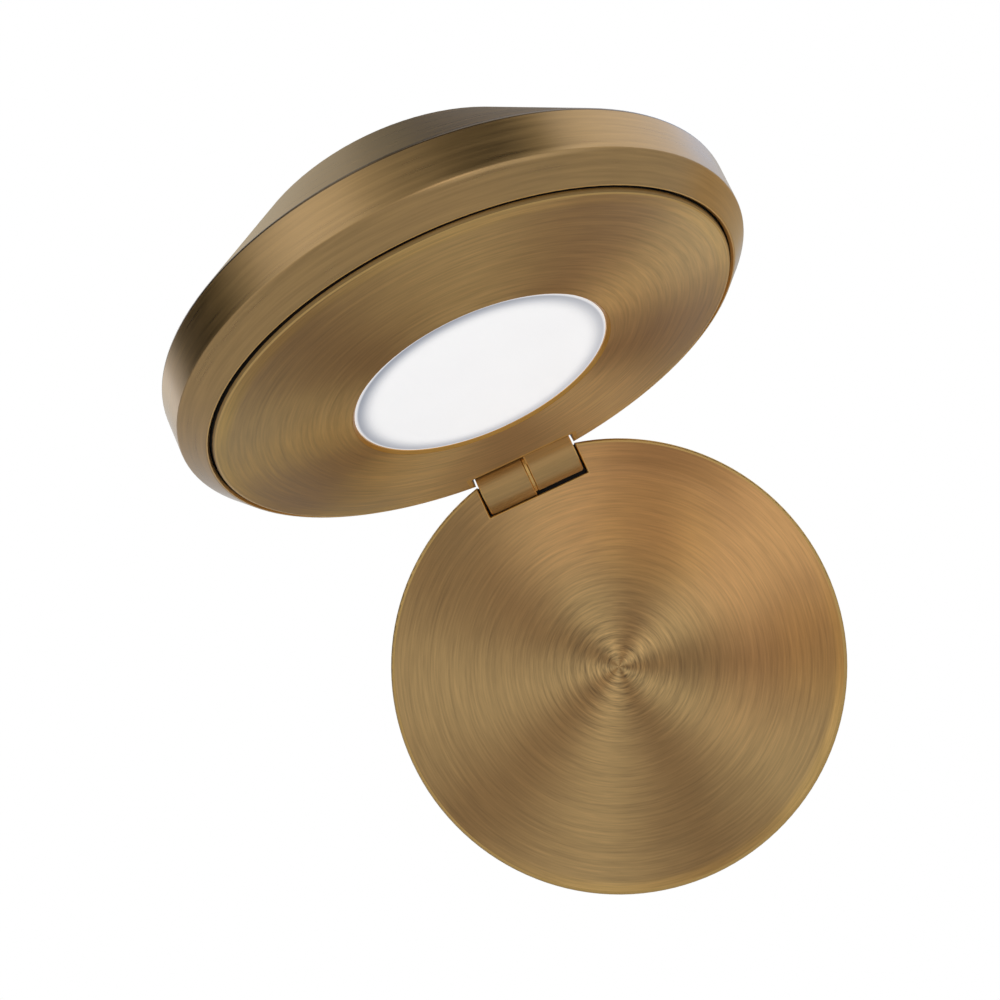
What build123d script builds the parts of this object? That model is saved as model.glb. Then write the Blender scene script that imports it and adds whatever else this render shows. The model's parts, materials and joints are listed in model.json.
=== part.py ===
from build123d import *
import math
import os

# Folding two-disc wall light. A flat round plate fixes to the wall, and a deeper round head with an
# opal lens hangs from it on a barrel hinge. The head folds down flat over the plate to close.
#
# Units are millimetres. World frame: X to the right along the hinge, Z up, and the wall is the plane Y = 0,
# with the light standing out of it towards -Y. The origin is the middle of the wall screws.
#
# Two local frames are used, and each piece is made in one of them:
#   plate frame: z = 0 on the wall, the plate's face at z = PLATE_DEPTH, y up the wall.
#   head frame:  z = 0 on the head's face, the lens shines along +z, y runs away from the hinge.

# ---- driving dimensions -------------------------------------------------------------------------
PLATE_RADIUS = 50.1
PLATE_DEPTH = 10.0
PLATE_FACE = 2.5            # thickness of the plate's brass face
PLATE_WALL = 3.5            # thickness of the plate's rim
RIM_ROUND = 0.4

HINGE_OFFSET = 47.4         # from the centre of either disc to the hinge axis
HINGE_RISE = 1.3            # hinge axis in front of either face, half the gap when closed
OPEN_ANGLE = 107.6          # between the two faces when fully open
BARREL_RADIUS = 5.0
BARREL_HALF = 11.1          # half the length of the whole barrel
BARREL_CHAMFER = 0.25
WASHER_RADIUS = 4.9         # friction washer, almost flush with the barrel
KNUCKLE_GAP = 0.6           # between the two knuckles, filled by the friction washer
NOTCH_HALF = 11.8
PLATE_NOTCH_WALL = 41.6     # from the plate's centre to the flat back wall of its notch
HEAD_NOTCH_WALL = 42.2      # the same in the head, where the wall stands close to the barrel
NOTCH_DEPTH = 6.4           # below the face
NOTCH_FAR = 60.0            # beyond every rim
NOTCH_CHAMFER = 0.2
WEB_TOP = 1.2               # below the face, where the knuckle's sloping web meets the notch wall
WEB_BITE = 0.02             # how far the web's slope cuts into the barrel
WEB_DEPTH = 5.6
FOOT_END = 32.0             # from the disc's centre to the end of the knuckle's foot

PIN_RADIUS = 2.5
PIN_BORE = 1.2
PIN_SEAT = 4.6              # where the wide bore for the nut or pin head starts, from the middle
WIDE_BORE = 4.0
NUT_RADIUS = 3.7
CAP_THICKNESS = 0.8
RUNNING = 0.03              # running clearance, radial and axial

LEAD_RADIUS = 0.7
LEAD_BEND = 1.6
LEAD_X = 8.3                # where the lead leaves the barrel, from the middle
LEAD_DEPTH = 4.0            # lead's centre line below the face, inside the foot
LEAD_HOLE = 1.1
SLOT_START = 37.5           # the lead's slot in the foot runs from here to the foot's end

HEAD_RIM = 49.45            # front edge of the head's shell
HEAD_RIM_DROP = 0.5         # that edge below the head's face
HEAD_BORE = 48.8
HEAD_LIP = 0.4              # inward slope on the front edge of the bore
HEAD_MAX = 53.0
BEVEL_DROP = 4.1
BAND_RADIUS = 53.3
BAND_DROP = 11.2
HEAD_DEPTH = 31.7
HEAD_BACK_RADIUS = 33.1
BACK_ROUND = 2.0
BAND_ROUND = 0.5
BEVEL_ROUND = 0.4
RIM_BREAK = 0.15
CAVITY_DEPTH = 29.7
CAVITY_BEND = 12.0
CAVITY_BACK_RADIUS = 31.6

DISC_RADIUS = 48.45
DISC_THICKNESS = 2.5
DISC_ROUND = 0.6
APERTURE = 24.1
APERTURE_CHAMFER = 0.5

LENS_FLANGE = 26.8
LENS_CLEARANCE = 0.1
SINK_TOP = 6.4              # heat sink's upper face below the head's face
SINK_PLATE = 2.6
SINK_RADIUS = 46.5
WELL_RADIUS = 25.5
WELL_FLOOR = 9.4
WELL_PLATE = 2.6
FIN_LENGTH = 5.0
FIN_COUNT = 7
BOARD_TOP = 22.8
BOARD_THICKNESS = 1.6

SCREW_M2 = 0.95
SCREW_HOLE = 1.0
KNUCKLE_SCREWS = ((3.2, 34.5), (3.2, 38.6))

WALL_HOLE_SPACING = 60.0
WALL_HOLE_RADIUS = 2.25
BRACKET_THICKNESS = 1.2
BRACKET_RADIUS = 44.0
GROMMET_BORE = 4.0
GROMMET_RADIUS = 8.0

UP = (Align.CENTER, Align.CENTER, Align.MIN)


# ---- small helpers ------------------------------------------------------------------------------
def disc(radius, low, high):
    """Upright cylinder between two heights."""
    return Pos(0, 0, low) * Cylinder(radius, high - low, align=UP)


def ring(outer, inner, low, high):
    """Flat ring between two heights."""
    return disc(outer, low, high) - disc(inner, low - 1, high + 1)


def block(low, high):
    """Box between two opposite corners."""
    size = [b - a for a, b in zip(low, high)]
    middle = [(a + b) / 2 for a, b in zip(low, high)]
    return Pos(*middle) * Box(*size)


def bar(radius, start, end, y, z):
    """Round bar along X between two places."""
    length = end - start
    return Pos((start + end) / 2, y, z) * Rot(Y=90) * Cylinder(radius, length)


def lathe(points):
    """Solid of revolution about the local z axis from a closed (radius, height) outline."""
    outline = make_face(Polyline(*[(r, 0, z) for r, z in points], close=True))
    return revolve(outline, axis=Axis.Z, revolution_arc=360)


def around(radius, count, first=0.0):
    """Evenly spaced (x, y, angle) places on a circle."""
    for step in range(count):
        angle = first + 360.0 * step / count
        turn = math.radians(angle)
        yield radius * math.cos(turn), radius * math.sin(turn), angle


def screw(shank, head, head_height, length):
    """Socket screw along z: its head below z = 0, and its shank above."""
    body = disc(shank, 0, length) + disc(head, -head_height, 0)
    return body - disc(head * 0.45, -head_height - 1, -head_height * 0.4)


def group(solids):
    """Separate solids kept in one node."""
    return Compound(children=[solid for shape in solids for solid in shape.solids()])


def circle_edges(shape, radius, height):
    """Round edges of one radius at one height."""
    rounds = shape.edges().filter_by(GeomType.CIRCLE)
    return [e for e in rounds if abs(e.radius - radius) < 0.01 and abs(e.arc_center.Z - height) < 0.01]


# ---- pieces of the hinge ------------------------------------------------------------------------
def hinge_notch(face, wall):
    """Space cut into a disc for the barrel; the disc's face is at z = face, the hinge towards +y."""
    space = block((-NOTCH_HALF, wall, face - NOTCH_DEPTH), (NOTCH_HALF, NOTCH_FAR, face + 5))
    levels = []
    for height, spread in ((-NOTCH_CHAMFER, 0.0), (1.0, 1.0 + NOTCH_CHAMFER)):
        start = wall - spread
        outline = Rectangle(2 * (NOTCH_HALF + spread), NOTCH_FAR - start)
        levels.append(Pos(0, (NOTCH_FAR + start) / 2, face + height) * outline)
    return space + loft(levels)


def foot_space(face):
    """Slot under the face that takes the foot of the left knuckle."""
    low = (-BARREL_HALF, FOOT_END, face - NOTCH_DEPTH)
    return block(low, (-KNUCKLE_GAP / 2, PLATE_NOTCH_WALL + 1, face - PLATE_FACE))


def knuckle_web(wall):
    """Web between the notch wall and the barrel, its front sloping up from the wall to meet the barrel."""
    run = HINGE_OFFSET - wall
    rise = HINGE_RISE + WEB_TOP
    reach = math.hypot(run, rise)
    radius = BARREL_RADIUS - WEB_BITE
    slope = math.atan2(rise, run) + math.asin(radius / reach)
    length = math.sqrt(reach ** 2 - radius ** 2)
    foot_z = PLATE_DEPTH - WEB_TOP
    touch = (wall + length * math.cos(slope), foot_z + length * math.sin(slope))
    outline = [
        (wall, PLATE_DEPTH - WEB_DEPTH), (HINGE_OFFSET, PLATE_DEPTH - WEB_DEPTH),
        (HINGE_OFFSET, PLATE_DEPTH + HINGE_RISE), touch, (wall, foot_z),
    ]
    side = make_face(Polyline(*[(-BARREL_HALF, y, z) for y, z in outline], close=True))
    return extrude(side, amount=BARREL_HALF - KNUCKLE_GAP / 2, dir=(1, 0, 0))


def knuckle(pin_bore, wall):
    """Left-hand knuckle with its web and foot, in the plate frame. The head's knuckle is the same, turned."""
    inner = -KNUCKLE_GAP / 2
    axis_z = PLATE_DEPTH + HINGE_RISE
    barrel = bar(BARREL_RADIUS, -BARREL_HALF, inner, HINGE_OFFSET, axis_z)
    barrel = chamfer(barrel.edges().filter_by(GeomType.CIRCLE), BARREL_CHAMFER)
    foot_low = (-BARREL_HALF, FOOT_END, PLATE_DEPTH - NOTCH_DEPTH)
    foot = block(foot_low, (inner, wall, PLATE_DEPTH - PLATE_FACE))
    body = barrel + knuckle_web(wall) + foot
    body -= bar(pin_bore, -PIN_SEAT - 1, inner + 1, HINGE_OFFSET, axis_z)
    body -= bar(WIDE_BORE, -BARREL_HALF - 1, -PIN_SEAT, HINGE_OFFSET, axis_z)
    lead_z = PLATE_DEPTH - LEAD_DEPTH
    body -= Pos(-LEAD_X, HINGE_OFFSET, lead_z) * Cylinder(LEAD_HOLE, axis_z - lead_z, align=UP)
    along = HINGE_OFFSET - SLOT_START
    body -= Pos(-LEAD_X, SLOT_START + along / 2, lead_z) * Rot(X=90) * Cylinder(LEAD_HOLE, along)
    body -= Pos(-LEAD_X, HINGE_OFFSET, lead_z) * Sphere(LEAD_HOLE)
    slot_low = (-LEAD_X - LEAD_HOLE, FOOT_END - 1, PLATE_DEPTH - NOTCH_DEPTH - 1)
    body -= block(slot_low, (-LEAD_X + LEAD_HOLE, SLOT_START, lead_z + LEAD_HOLE))
    for x, y in KNUCKLE_SCREWS:
        body -= Pos(-x, y, 0) * disc(SCREW_HOLE, 0, PLATE_DEPTH - PLATE_FACE - 0.5)
    return body


def turned(shape):
    """Carries a hinge piece from the plate frame to the head frame."""
    return Rot(Z=180) * Pos(0, 0, -PLATE_DEPTH) * shape


def knuckle_screws(seat):
    """Screws that hold a knuckle's foot, heads behind the given height of the plate frame."""
    tip = PLATE_DEPTH - PLATE_FACE - 0.8
    one = screw(SCREW_M2, 1.9, 1.2, tip - seat)
    return group([Pos(-x, y, seat) * one for x, y in KNUCKLE_SCREWS])


def on_axis(shape):
    """Moves a piece made about the X axis onto the hinge axis, in the plate frame."""
    return Pos(0, HINGE_OFFSET, PLATE_DEPTH + HINGE_RISE) * shape


def hinge_pin():
    head_start = -PIN_SEAT - 1.0
    pin = bar(PIN_RADIUS, head_start, 6.6, 0, 0) + bar(NUT_RADIUS, head_start, -PIN_SEAT, 0, 0)
    return on_axis(pin - bar(PIN_BORE, head_start - 1, 8, 0, 0))


def friction_washer():
    washer = bar(WASHER_RADIUS, -KNUCKLE_GAP / 2, KNUCKLE_GAP / 2 - RUNNING, 0, 0)
    return on_axis(washer - bar(PIN_RADIUS + RUNNING, -2, 2, 0, 0))


def spring_washer():
    washer = bar(NUT_RADIUS, PIN_SEAT + RUNNING, 5.2, 0, 0)
    return on_axis(washer - bar(PIN_RADIUS + RUNNING, 4, 6, 0, 0))


def tension_nut():
    nut = bar(NUT_RADIUS, 5.2, 6.6, 0, 0) - bar(PIN_RADIUS, 5, 7, 0, 0)
    for side in (-1, 1):
        nut -= block((6.1, side * 3.1 - 0.4, -1), (7, side * 3.1 + 0.4, 1))
    return on_axis(nut)


def pin_cap():
    cap = bar(WIDE_BORE, -BARREL_HALF, -BARREL_HALF + CAP_THICKNESS, 0, 0)
    return on_axis(chamfer(cap.edges().filter_by(GeomType.CIRCLE).sort_by(Axis.X)[0], 0.2))


def lead(points, radii):
    """Round two-core lead along straight runs joined by tangent arcs."""
    path = FilletPolyline(*points, radius=radii)
    start = Plane(origin=path @ 0, z_dir=path % 0)
    body = sweep(start * Circle(LEAD_RADIUS), path=path)
    expected = math.pi * LEAD_RADIUS ** 2 * path.length
    print("lead length", round(path.length, 1), "volume ratio", round(body.volume / expected, 3), "radii", radii)
    return body


# ---- pieces of the wall plate, in the plate frame -----------------------------------------------
GRUB_ANGLES = (-60.0, -120.0)
GRUB_HEIGHT = 4.0
GRUB_INNER = 43.0


def front_plate():
    body = disc(PLATE_RADIUS, 0, PLATE_DEPTH)
    body = fillet(circle_edges(body, PLATE_RADIUS, PLATE_DEPTH), RIM_ROUND)
    body -= disc(PLATE_RADIUS - PLATE_WALL, -1, PLATE_DEPTH - PLATE_FACE)
    body -= ring(49.2, 47.4, -1, 0.8)
    inside = disc(PLATE_RADIUS - PLATE_WALL / 2, 2.0, PLATE_DEPTH - PLATE_FACE)
    body += inside & block((-14.2, FOOT_END - 2, 2.0), (14.2, 60, PLATE_DEPTH))
    body -= hinge_notch(PLATE_DEPTH, PLATE_NOTCH_WALL)
    body -= foot_space(PLATE_DEPTH)
    body -= block((-LEAD_X - LEAD_HOLE, 20, PLATE_DEPTH - NOTCH_DEPTH), (-LEAD_X + LEAD_HOLE, FOOT_END, 7.5))
    for x, y in KNUCKLE_SCREWS:
        body -= Pos(-x, y, 0) * disc(SCREW_HOLE, 0, PLATE_DEPTH - PLATE_FACE)
    for angle in GRUB_ANGLES:
        body -= Rot(Z=angle) * bar(1.55, GRUB_INNER, PLATE_RADIUS + 1, 0, GRUB_HEIGHT)
    return body


def wall_bracket():
    body = disc(BRACKET_RADIUS, 0, BRACKET_THICKNESS)
    body -= block((-16, 26, -1), (16, 60, 3))
    body -= disc(GROMMET_RADIUS, -1, 3)
    for side in (-1, 1):
        body -= Pos(side * WALL_HOLE_SPACING / 2, 0, 0) * disc(WALL_HOLE_RADIUS, -1, 3)
    for angle in GRUB_ANGLES:
        body += Rot(Z=angle) * block((41.0, -4, 0), (GRUB_INNER, 4, 6.5))
    return body


def grub_screws():
    one = bar(1.5, GRUB_INNER, 49.2, 0, GRUB_HEIGHT) - bar(0.8, 47, 50, 0, GRUB_HEIGHT)
    return group([Rot(Z=angle) * one for angle in GRUB_ANGLES])


TERMINAL_LOW = (-8.0, -30.0, BRACKET_THICKNESS)
TERMINAL_HIGH = (8.0, -22.0, 6.2)
TERMINAL_PLACES = [(x, y) for x in (-4, 4) for y in (-28, -24)]
WIRE_HEIGHT = 3.4


def terminal_block():
    body = block(TERMINAL_LOW, TERMINAL_HIGH)
    for x, y in TERMINAL_PLACES:
        body -= Pos(x, y, 0) * disc(1.4, 4.6, 7)
    for x in (-4, 4):
        body -= Pos(x, -26, WIRE_HEIGHT) * Rot(X=90) * Cylinder(0.9, 10)
    return body


def terminal_screws():
    one = disc(1.3, 4.6, 5.8) - block((-0.25, -1.4, 5.2), (0.25, 1.4, 6))
    return group([Pos(x, y, 0) * one for x, y in TERMINAL_PLACES])


def cable_grommet():
    body = disc(GROMMET_RADIUS, 0, BRACKET_THICKNESS) + disc(GROMMET_RADIUS + 1.5, BRACKET_THICKNESS, 2.4)
    return body - disc(GROMMET_BORE, -1, 3)


MAGNET_PLACE = 38.0


def keeper_magnet():
    top = PLATE_DEPTH - PLATE_FACE
    return Pos(0, -MAGNET_PLACE, 0) * disc(4.0, top - 2.0, top)


def plate_lead():
    axis_z = PLATE_DEPTH + HINGE_RISE
    low_z = PLATE_DEPTH - LEAD_DEPTH
    route = [
        (0, HINGE_OFFSET, axis_z),
        (-LEAD_X, HINGE_OFFSET, axis_z),
        (-LEAD_X, HINGE_OFFSET, low_z),
        (-LEAD_X, 14, low_z),
        (-12, 0, WIRE_HEIGHT),
        (-4, -16, WIRE_HEIGHT),
        (-4, -22, WIRE_HEIGHT),
    ]
    return lead(route, [LEAD_BEND, LEAD_BEND, 10.0, 8.0, 6.0])


# ---- pieces of the head, in the head frame ------------------------------------------------------
POST_PLACES = list(around(40.0, 4, 45.0))
STANDOFF_PLACES = [(x, y) for x in (-19.0, 19.0) for y in (-11.0, 11.0)]


def head_outside():
    body = lathe([
        (0, -HEAD_RIM_DROP), (HEAD_RIM, -HEAD_RIM_DROP), (HEAD_MAX, -BEVEL_DROP), (BAND_RADIUS, -BAND_DROP),
        (HEAD_BACK_RADIUS, -HEAD_DEPTH), (0, -HEAD_DEPTH),
    ])
    body = fillet(circle_edges(body, HEAD_BACK_RADIUS, -HEAD_DEPTH), BACK_ROUND)
    body = fillet(circle_edges(body, BAND_RADIUS, -BAND_DROP), BAND_ROUND)
    body = fillet(circle_edges(body, HEAD_MAX, -BEVEL_DROP), BEVEL_ROUND)
    return chamfer(circle_edges(body, HEAD_RIM, -HEAD_RIM_DROP), RIM_BREAK)


def head_shell():
    outside = head_outside()
    above = 1.0
    lip_foot = -HEAD_RIM_DROP - HEAD_LIP
    body = outside - lathe([
        (0, above), (HEAD_BORE + above - lip_foot, above), (HEAD_BORE, lip_foot),
        (HEAD_BORE, -CAVITY_BEND), (CAVITY_BACK_RADIUS, -CAVITY_DEPTH), (0, -CAVITY_DEPTH),
    ])
    sink_back = -(SINK_TOP + SINK_PLATE)
    for x, y, _ in POST_PLACES:
        body += (Pos(x, y, 0) * disc(3.2, -28, sink_back)) & outside
        body -= Pos(x, y, 0) * disc(SCREW_HOLE, -17, sink_back + 1)
    board_back = -(BOARD_TOP + BOARD_THICKNESS)
    for x, y in STANDOFF_PLACES:
        body += Pos(x, y, 0) * disc(2.2, -CAVITY_DEPTH - 0.5, board_back)
        body -= Pos(x, y, 0) * disc(SCREW_HOLE, -28.5, board_back + 1)
    return body - Rot(Z=180) * hinge_notch(0, HEAD_NOTCH_WALL)


def inner_disc():
    body = disc(DISC_RADIUS, -DISC_THICKNESS, 0)
    body = fillet(circle_edges(body, DISC_RADIUS, 0), DISC_ROUND)
    body -= disc(APERTURE, -5, 5)
    body = chamfer(circle_edges(body, APERTURE, 0), APERTURE_CHAMFER)
    body -= disc(LENS_FLANGE + 0.2, -5, -1.0)
    for x, y, _ in around(30.0, 4, 45.0):
        body -= Pos(x, y, 0) * disc(SCREW_HOLE, -5, -1.0)
    return body - Rot(Z=180) * hinge_notch(0, HEAD_NOTCH_WALL)


def seam_seal():
    return ring(HEAD_BORE, DISC_RADIUS, -2.5, -1.9) - Rot(Z=180) * hinge_notch(0, HEAD_NOTCH_WALL)


def retaining_clips():
    one = block((42, -3, -SINK_TOP), (45, 3, -DISC_THICKNESS)) - block((42.5, -4, -5.9), (46, 4, -3.0))
    return group([Rot(Z=angle) * one for angle in (0, 120, 240)])


def lens():
    body = disc(LENS_FLANGE, -3.0, -1.3)
    front = disc(APERTURE - LENS_CLEARANCE, -2, -0.5)
    return body + fillet(circle_edges(front, APERTURE - LENS_CLEARANCE, -0.5), 0.3)


def lens_retainer():
    body = ring(32.0, 24.5, -4.0, -DISC_THICKNESS) - disc(LENS_FLANGE + 0.2, -3.0, 0)
    for x, y, _ in around(30.0, 4, 45.0):
        body -= Pos(x, y, 0) * disc(SCREW_HOLE, -5, 0)
    return body


def retainer_screws():
    one = screw(SCREW_M2, 1.7, 1.0, 2.8)
    return group([Pos(x, y, -4.0) * one for x, y, _ in around(30.0, 4, 45.0)])


LED_BOARD_TOP = 8.2
LED_SCREW_PLACE = 10.5


def reflector():
    return lathe([(18, -LED_BOARD_TOP), (24.9, -LED_BOARD_TOP), (24.9, -4.0), (24.3, -4.0)])


def led_board():
    body = disc(24.8, -WELL_FLOOR, -LED_BOARD_TOP)
    for side in (-1, 1):
        body -= Pos(side * LED_SCREW_PLACE, 0, 0) * disc(SCREW_HOLE, -10, 0)
    return body


def led_chips():
    chip = block((-1.4, -1.4, -LED_BOARD_TOP), (1.4, 1.4, -LED_BOARD_TOP + 0.7))
    places = list(around(6.0, 6, 30.0)) + list(around(15.2, 12, 15.0))
    return group([Pos(x, y, 0) * Rot(Z=angle) * chip for x, y, angle in places])


def led_board_screws():
    one = Rot(X=180) * screw(SCREW_M2, 1.7, 1.0, 3.2)
    return group([Pos(side * LED_SCREW_PLACE, 0, -LED_BOARD_TOP) * one for side in (-1, 1)])


def heat_sink():
    plate_back = -(SINK_TOP + SINK_PLATE)
    well_back = -(WELL_FLOOR + WELL_PLATE)
    body = disc(SINK_RADIUS, plate_back, -SINK_TOP) + disc(WELL_RADIUS + 2.5, well_back, -SINK_TOP)
    body -= disc(WELL_RADIUS, -WELL_FLOOR, 0)
    pitch = 2 * WELL_RADIUS / FIN_COUNT
    inside = disc(WELL_RADIUS + 2.5, well_back - FIN_LENGTH, well_back)
    for step in range(FIN_COUNT):
        x = (step - (FIN_COUNT - 1) / 2) * pitch
        body += inside & block((x - 0.8, -40, well_back - FIN_LENGTH), (x + 0.8, 40, well_back))
    for x, y, _ in POST_PLACES:
        body -= Pos(x, y, 0) * disc(SCREW_HOLE, -20, 0)
    for x, y in KNUCKLE_SCREWS:
        body -= Pos(x, -y, 0) * disc(SCREW_HOLE, -20, 0)
    for side in (-1, 1):
        body -= Pos(side * LED_SCREW_PLACE, 0, 0) * disc(SCREW_HOLE, well_back + 0.5, 0)
    return body - Pos(LEAD_X, -SLOT_START + 3, 0) * disc(LEAD_HOLE, -20, 0)


def heat_sink_screws():
    one = Rot(X=180) * screw(SCREW_M2, 1.9, 1.2, 9.0)
    return group([Pos(x, y, -SINK_TOP) * one for x, y, _ in POST_PLACES])


def driver_board():
    back = -(BOARD_TOP + BOARD_THICKNESS)
    body = block((-22, -14, back), (22, 14, -BOARD_TOP))
    for x, y in STANDOFF_PLACES:
        body -= Pos(x, y, 0) * disc(SCREW_HOLE, -30, 0)
    return body


def driver_parts():
    base = -BOARD_TOP
    transformer = block((-13, -6, base), (-1, 6, base + 4.8))
    capacitor = Pos(5, 7, 0) * disc(3.0, base, base + 5.0)
    inductor = Pos(12.5, 3, 0) * (disc(3.4, base, base + 3.6) - disc(1.2, base + 1.2, base + 5))
    chip = block((1.5, -3.5, base), (7.5, 0.5, base + 1.4))
    socket = block((LEAD_X - 3, -13.5, base), (LEAD_X + 3, -8.0, base + 4.6))
    return group([transformer, capacitor, inductor, chip, socket])


def driver_screws():
    one = Rot(X=180) * screw(SCREW_M2, 1.7, 1.0, 5.0)
    return group([Pos(x, y, -BOARD_TOP) * one for x, y in STANDOFF_PLACES])


def closing_sensor():
    board = block((-5, MAGNET_PLACE - 3, -SINK_TOP), (5, MAGNET_PLACE + 3, -SINK_TOP + 1.0))
    return board + block((-1.6, MAGNET_PLACE - 1, -SINK_TOP + 1.0), (1.6, MAGNET_PLACE + 1, -3.4))


def head_lead():
    low_z = -LEAD_DEPTH
    drop_y = -SLOT_START + 3
    socket_z = -BOARD_TOP + 2.6
    route = [
        (0, -HINGE_OFFSET, HINGE_RISE),
        (LEAD_X, -HINGE_OFFSET, HINGE_RISE),
        (LEAD_X, -HINGE_OFFSET, low_z),
        (LEAD_X, drop_y, low_z),
        (LEAD_X, drop_y, socket_z),
        (LEAD_X, -13.5, socket_z),
    ]
    return lead(route, [LEAD_BEND, LEAD_BEND, LEAD_BEND, 6.0])


# ---- placing and writing ------------------------------------------------------------------------
TO_WORLD_FROM_PLATE = Rot(X=90)
AXIS_IN_WORLD = Pos(0, -(PLATE_DEPTH + HINGE_RISE), HINGE_OFFSET)
TO_WORLD_FROM_HEAD = AXIS_IN_WORLD * Rot(X=270 - OPEN_ANGLE) * Pos(0, HINGE_OFFSET, -HINGE_RISE)

PLATE_PIECES = {
    "wall_bracket": wall_bracket(),
    "rim_seal": ring(49.2, 47.4, 0, 0.8),
    "front_plate": front_plate(),
    "plate_grub_screws": grub_screws(),
    "plate_knuckle": knuckle(PIN_RADIUS, PLATE_NOTCH_WALL),
    "plate_knuckle_screws": knuckle_screws(2.0),
    "hinge_pin": hinge_pin(),
    "friction_washer": friction_washer(),
    "spring_washer": spring_washer(),
    "tension_nut": tension_nut(),
    "plate_pin_cap": pin_cap(),
    "terminal_block": terminal_block(),
    "terminal_screws": terminal_screws(),
    "cable_grommet": cable_grommet(),
    "keeper_magnet": keeper_magnet(),
    "plate_lead": plate_lead(),
}

HEAD_PIECES = {
    "head_shell": head_shell(),
    "inner_disc": inner_disc(),
    "seam_seal": seam_seal(),
    "retaining_clips": retaining_clips(),
    "lens": lens(),
    "lens_gasket": ring(LENS_FLANGE, 24.6, -1.3, -1.0),
    "lens_retainer": lens_retainer(),
    "retainer_screws": retainer_screws(),
    "reflector": reflector(),
    "led_board": led_board(),
    "led_chips": led_chips(),
    "led_board_screws": led_board_screws(),
    "heat_sink": heat_sink(),
    "heat_sink_screws": heat_sink_screws(),
    "driver_board": driver_board(),
    "driver_parts": driver_parts(),
    "driver_screws": driver_screws(),
    "closing_sensor": closing_sensor(),
    "head_knuckle": turned(knuckle(PIN_RADIUS + RUNNING, HEAD_NOTCH_WALL)),
    "head_knuckle_screws": turned(knuckle_screws(PLATE_DEPTH - SINK_TOP - SINK_PLATE)),
    "head_pin_cap": turned(pin_cap()),
    "head_lead": head_lead(),
}

os.makedirs("parts", exist_ok=True)
for place, pieces in ((TO_WORLD_FROM_PLATE, PLATE_PIECES), (TO_WORLD_FROM_HEAD, HEAD_PIECES)):
    for name, piece in pieces.items():
        export_step(place * piece, "parts/" + name + ".step")
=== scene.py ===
"""Looks for the folding two-disc wall light: brushed antique brass, opal lens, soft studio light."""

import json
import math
from collections import namedtuple

import bpy
from mathutils import Matrix, Vector


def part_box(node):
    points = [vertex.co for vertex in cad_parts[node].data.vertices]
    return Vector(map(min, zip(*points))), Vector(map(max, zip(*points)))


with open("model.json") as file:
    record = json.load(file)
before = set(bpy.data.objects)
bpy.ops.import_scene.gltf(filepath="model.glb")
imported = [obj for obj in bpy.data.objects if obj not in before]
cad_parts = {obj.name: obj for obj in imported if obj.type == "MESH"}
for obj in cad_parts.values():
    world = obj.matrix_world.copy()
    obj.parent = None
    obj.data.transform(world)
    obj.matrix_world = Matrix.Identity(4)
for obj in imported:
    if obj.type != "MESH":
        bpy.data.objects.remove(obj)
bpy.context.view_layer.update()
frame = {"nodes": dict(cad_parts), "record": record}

NODES = frame["nodes"]
HINGE = next(j for j in frame["record"]["behaviour"]["joints"] if j["name"] == "head_hinge")


def half_width(node):
    """Half the width of a CAD node along X, which is the radius of a round one."""
    low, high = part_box(node)
    return (high[0] - low[0]) / 2


# ---- places worked out from the frame (metres) ---------------------------------------------------
PAST = 0.00005              # how far a painted zone reaches past the faces that it covers
PLATE_RADIUS = half_width("front_plate")
PLATE_FACE_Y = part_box("front_plate")[0][1]
BAND_RADIUS = half_width("head_shell")
DISC_SIDE = half_width("inner_disc") - PAST
HEAD_BORE = half_width("seam_seal") + PAST
LENS_RADIUS = half_width("lens") - 0.0028       # of the lens's visible front, without its flange
APERTURE = LENS_RADIUS + 0.0001

HINGE_POINT = Vector(HINGE["pos_m"])
HINGE_RISE = PLATE_FACE_Y - HINGE_POINT.y       # the hinge axis stands this far in front of either face
OPEN_ANGLE = math.radians(-HINGE["range_deg"][0])
HEAD_TURN = Matrix.Rotation(math.radians(270) - OPEN_ANGLE, 4, "X")     # from the head's frame to the world
HEAD_CENTRE = HINGE_POINT + HEAD_TURN.to_3x3() @ Vector((0, HINGE_POINT.z, -HINGE_RISE))

# Each disc's own frame has x along the hinge, its z axis out of the face, and z = 0 on the face.
PLATE_FRAME = Matrix.Translation((0, PLATE_FACE_Y, 0)) @ Matrix.Rotation(math.radians(90), 4, "X")
HEAD_FRAME = Matrix.Translation(HEAD_CENTRE) @ HEAD_TURN

NOTCH_HALF = 0.0118 + PAST
NOTCH_DEPTH = 0.0064 + PAST
NOTCH_LIGHT = 0.0006        # depth below the face where the painted shade in the notch begins
SEAM_FOOT = 0.012           # the painted shade in the seam stops here, above the shell's slope

Disc = namedtuple("Disc", "frame notch_wall hinge_side")
PLATE = Disc(PLATE_FRAME, HINGE_POINT.z - 0.0058 - PAST, 1.0)
HEAD = Disc(HEAD_FRAME, HINGE_POINT.z - 0.0052 - PAST, -1.0)        # its hinge lies toward its own -y


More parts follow.
